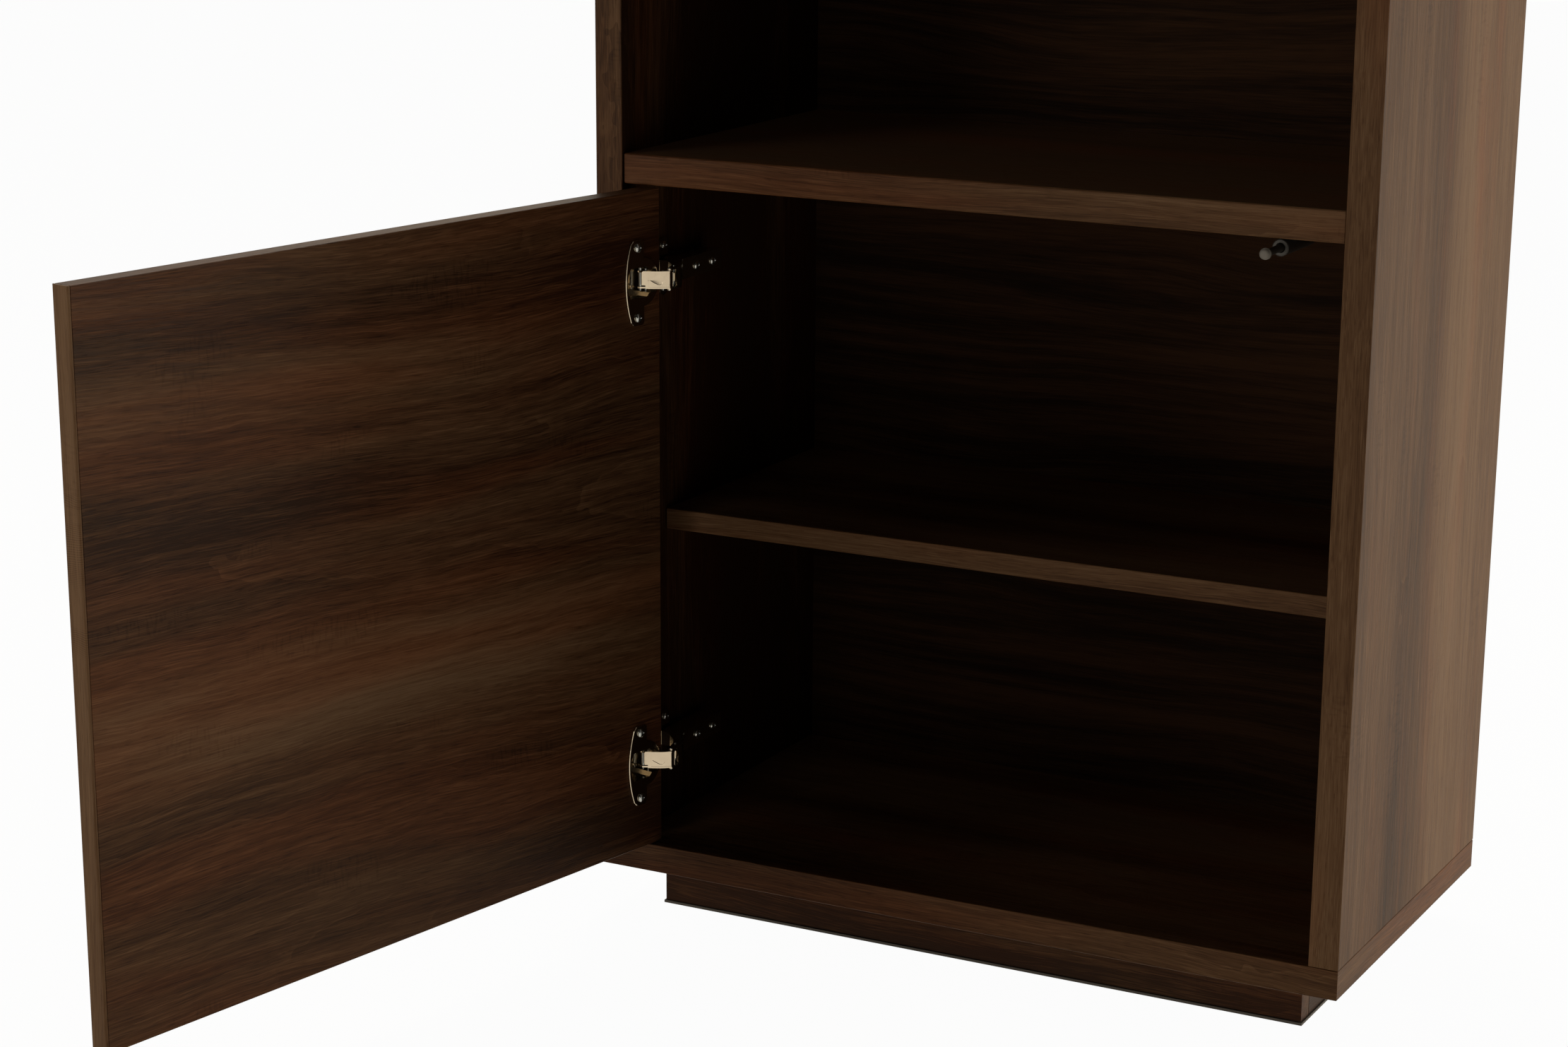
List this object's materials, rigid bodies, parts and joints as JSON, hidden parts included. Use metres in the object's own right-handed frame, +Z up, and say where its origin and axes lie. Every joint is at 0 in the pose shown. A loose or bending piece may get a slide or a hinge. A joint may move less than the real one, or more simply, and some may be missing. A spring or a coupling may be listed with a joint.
{
  "type": "cabinet",
  "caption": "Floor-standing walnut cabinet with an open niche over an inset push-to-open door on concealed cup hinges, a loose inner shelf and a recessed plinth.",
  "frame": {"origin": "on the floor, under the middle of the front plinth board", "axes": "+Z up, the open front faces -Y, +X to the right seen from the front"},
  "size_m": [0.6686, 0.8545, 0.9],
  "materials": {
    "walnut": "satin dark walnut grain",
    "walnut_edge": "satin walnut edge band",
    "plinth_brown": "dark brown stained",
    "foot_grey": "matte grey-brown",
    "nickel": "bright nickel plate",
    "screw_steel": "zinc-plated steel",
    "latch_grey": "satin dark grey",
    "tip_grey": "matte light grey"
  },
  "bodies": {
    "cabinet": {"back_panel": "walnut", "bottom_panel": "walnut", "fixed_shelf": "walnut", "foot_strip_back": "foot_grey", "foot_strip_front": "foot_grey", "foot_strip_left": "foot_grey", "foot_strip_right": "foot_grey", "inner_shelf": "walnut", "latch_housing": "latch_grey", "latch_screw_left": "screw_steel", "latch_screw_right": "screw_steel", "left_side": "walnut", "lower_adjust_screw": "screw_steel", "lower_arm_pin_inner": "screw_steel", "lower_arm_pin_outer": "screw_steel", "lower_clamp_screw": "screw_steel", "lower_hinge_arm": "nickel", "lower_mounting_plate": "nickel", "lower_plate_screw_bottom": "screw_steel", "lower_plate_screw_top": "screw_steel", "plinth_back": "plinth_brown", "plinth_front": "plinth_brown", "plinth_left": "plinth_brown", "plinth_right": "plinth_brown", "right_side": "walnut", "shelf_pin_left_back": "nickel", "shelf_pin_left_front": "nickel", "shelf_pin_right_back": "nickel", "shelf_pin_right_front": "nickel", "top_panel": "walnut", "upper_adjust_screw": "screw_steel", "upper_arm_pin_inner": "screw_steel", "upper_arm_pin_outer": "screw_steel", "upper_clamp_screw": "screw_steel", "upper_hinge_arm": "nickel", "upper_mounting_plate": "nickel", "upper_plate_screw_bottom": "screw_steel", "upper_plate_screw_top": "screw_steel"},
    "upper_outer_link": {"upper_outer_link": "nickel"},
    "door": {"door": "walnut", "door_edge_band": "walnut_edge", "lower_cup_pin_inner": "screw_steel", "lower_cup_pin_outer": "screw_steel", "lower_cup_screw_bottom": "screw_steel", "lower_cup_screw_top": "screw_steel", "lower_hinge_cup": "nickel", "upper_cup_pin_inner": "screw_steel", "upper_cup_pin_outer": "screw_steel", "upper_cup_screw_bottom": "screw_steel", "upper_cup_screw_top": "screw_steel", "upper_hinge_cup": "nickel"},
    "lower_outer_link": {"lower_outer_link": "nickel"},
    "upper_inner_link": {"upper_inner_link": "nickel"},
    "lower_inner_link": {"lower_inner_link": "nickel"},
    "plunger": {"plunger": "latch_grey", "plunger_tip": "tip_grey"}
  },
  "joints": [
    {"name": "door_swing", "type": "hinge", "parent": "upper_outer_link", "child": "door", "pos_m": [-0.26143, -0.04526, 0.5015], "axis": [0, 0, 1], "range_deg": [0, 125.7]},
    {"name": "upper_outer_link_turn", "type": "hinge", "parent": "cabinet", "child": "upper_outer_link", "pos_m": [-0.2431, -0.03421, 0.5015], "axis": [0, 0, 1], "range_deg": [-24.95, 0]},
    {"name": "upper_inner_link_turn", "type": "hinge", "parent": "door", "child": "upper_inner_link", "pos_m": [-0.25839, -0.04266, 0.5015], "axis": [0, 0, 1], "range_deg": [-130.64, 0]},
    {"name": "lower_outer_link_turn", "type": "hinge", "parent": "cabinet", "child": "lower_outer_link", "pos_m": [-0.2431, -0.03421, 0.1295], "axis": [0, 0, 1], "range_deg": [-24.95, 0]},
    {"name": "lower_inner_link_turn", "type": "hinge", "parent": "door", "child": "lower_inner_link", "pos_m": [-0.25839, -0.04266, 0.1295], "axis": [0, 0, 1], "range_deg": [-130.64, 0]},
    {"name": "plunger_slide", "type": "slide", "parent": "cabinet", "child": "plunger", "axis": [0, 1, 0], "range_m": [0, 0.02575]}
  ],
  "couplings": [
    {"joint": "upper_outer_link_turn", "follows": "door_swing", "ratio": -0.19833},
    {"joint": "upper_inner_link_turn", "follows": "door_swing", "ratio": -1.0391},
    {"joint": "lower_outer_link_turn", "follows": "door_swing", "ratio": -0.19833},
    {"joint": "lower_inner_link_turn", "follows": "door_swing", "ratio": -1.0391},
    {"joint": "plunger_slide", "follows": "door_swing", "m_per_rad": 0.011714}
  ]
}
